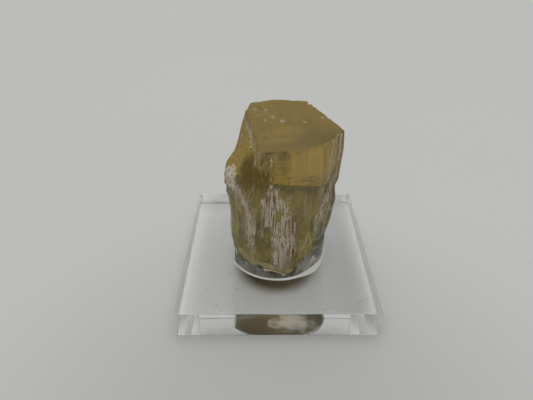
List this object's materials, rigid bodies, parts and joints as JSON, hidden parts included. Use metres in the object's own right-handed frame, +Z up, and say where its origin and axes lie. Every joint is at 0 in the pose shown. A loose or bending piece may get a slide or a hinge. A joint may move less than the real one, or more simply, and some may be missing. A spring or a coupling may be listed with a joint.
{
  "type": "fluorapatite crystal on a clear acrylic base",
  "caption": "Upright hexagonal fluorapatite crystal with a flat pitted top, its broken end held by a round clear cradle on a square clear acrylic base.",
  "frame": {"origin": "centre of the base's underside", "axes": "+Z up along the crystal, -Y out of the front, +X to the viewer's right"},
  "size_m": [0.05, 0.05, 0.0463],
  "materials": {
    "clear_acrylic": "clear cast acrylic sheet with polished edges and faint scuffs",
    "clear_cradle": "clear acrylic, cut to shape and glued",
    "apatite": "glassy yellow-green crystal, striated along its length, cloudy and weathered below"
  },
  "bodies": {
    "root": {"acrylic_base": "clear_acrylic", "acrylic_cradle": "clear_cradle", "apatite_crystal": "apatite"}
  },
  "joints": []
}
